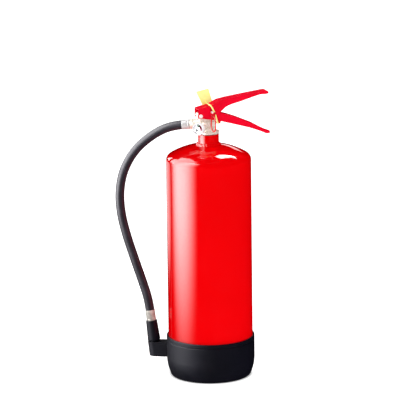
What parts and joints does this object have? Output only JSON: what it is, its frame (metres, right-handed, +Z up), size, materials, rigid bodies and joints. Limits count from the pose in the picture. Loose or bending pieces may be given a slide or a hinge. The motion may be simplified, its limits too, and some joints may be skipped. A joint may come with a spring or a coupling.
{
  "type": "fire extinguisher",
  "caption": "Portable stored-pressure fire extinguisher with squeeze levers, safety pin, gauge, side hose, nozzle in its holder and a plastic foot.",
  "frame": {"origin": "centre of the plastic foot's underside, on the vessel's axis", "axes": "+Z up the vessel's axis, +X towards the tips of the carry handle and operating lever, -Y the side of the safety pin's ring and the gauge; the hose, its outlet and the nozzle holder lie in an upright plane 154 degrees from +X"},
  "size_m": [0.2827, 0.1666, 0.5504],
  "materials": {
    "red_paint": "gloss powder coat",
    "black_plastic": "satin",
    "hose_rubber": "satin",
    "nickel_brass": "nickel plated",
    "brass": "turned",
    "aluminium": "satin",
    "steel": "zinc plated",
    "seal_rubber": "matte",
    "white_plastic": "gloss",
    "dial_face": "satin",
    "needle_paint": "matte",
    "lens": "clear",
    "dip_plastic": "natural",
    "seal_tag": "translucent",
    "powder": "matte"
  },
  "bodies": {
    "vessel": {"cylinder_shell": "red_paint", "bottom_dome": "red_paint", "neck_collar": "red_paint", "neck_weld": "red_paint", "powder_charge": "powder", "base_cup": "black_plastic", "nozzle_holder": "black_plastic", "valve_body": "nickel_brass", "neck_seal": "seal_rubber", "stem_gland": "brass", "stem_ring": "seal_rubber", "valve_spring": "steel", "dip_tube_adapter": "brass", "dip_tube": "dip_plastic", "gauge_stem": "nickel_brass", "gauge_case": "white_plastic", "bourdon_tube": "brass", "gauge_dial": "dial_face", "gauge_lens": "lens", "carry_handle": "red_paint", "pivot_pin": "steel", "handle_rivet": "red_paint", "tamper_seal": "seal_tag", "hose_nipple": "nickel_brass", "hose_ferrule_top": "aluminium", "hose": "hose_rubber"},
    "lever": {"operating_lever": "red_paint"},
    "stem": {"valve_stem": "brass", "stem_seal": "seal_rubber"},
    "pin": {"safety_pin": "steel"},
    "ring": {"pull_ring": "red_paint"},
    "needle": {"gauge_needle": "needle_paint"},
    "nozzle_end": {"hose_ferrule_bottom": "aluminium", "nozzle_insert": "brass", "nozzle": "black_plastic"}
  },
  "joints": [
    {"name": "lever_squeeze", "type": "hinge", "parent": "vessel", "child": "lever", "pos_m": [-0.0177, 0, 0.5018], "axis": [0, 1, 0], "range_deg": [0, 11], "stiffness_Nm_per_rad": 2, "springref_deg": -5.73},
    {"name": "stem_press", "type": "slide", "parent": "vessel", "child": "stem", "axis": [0, 0, -1], "range_m": [0, 0.0036], "deforming": ["valve_spring"]},
    {"name": "safety_pin_pull", "type": "slide", "parent": "vessel", "child": "pin", "axis": [0, -1, 0], "range_m": [0, 0.045]},
    {"name": "pull_ring_swing", "type": "hinge", "parent": "pin", "child": "ring", "pos_m": [0.0019, -0.0276, 0.503], "axis": [1, 0, 0], "range_deg": [-32, 0]},
    {"name": "gauge_needle_turn", "type": "hinge", "parent": "vessel", "child": "needle", "pos_m": [-0.03209, -0.0273, 0.47875], "axis": [0.7071, 0.7071, 0], "range_deg": [-6, 76]},
    {"name": "nozzle_pull", "type": "slide", "parent": "vessel", "child": "nozzle_end", "axis": [-0.1097, 0.0499, 0.9927], "range_m": [0, 0.03], "deforming": ["hose"]}
  ],
  "couplings": [
    {"joint": "stem_press", "follows": "lever_squeeze", "m_per_rad": 0.0177}
  ]
}
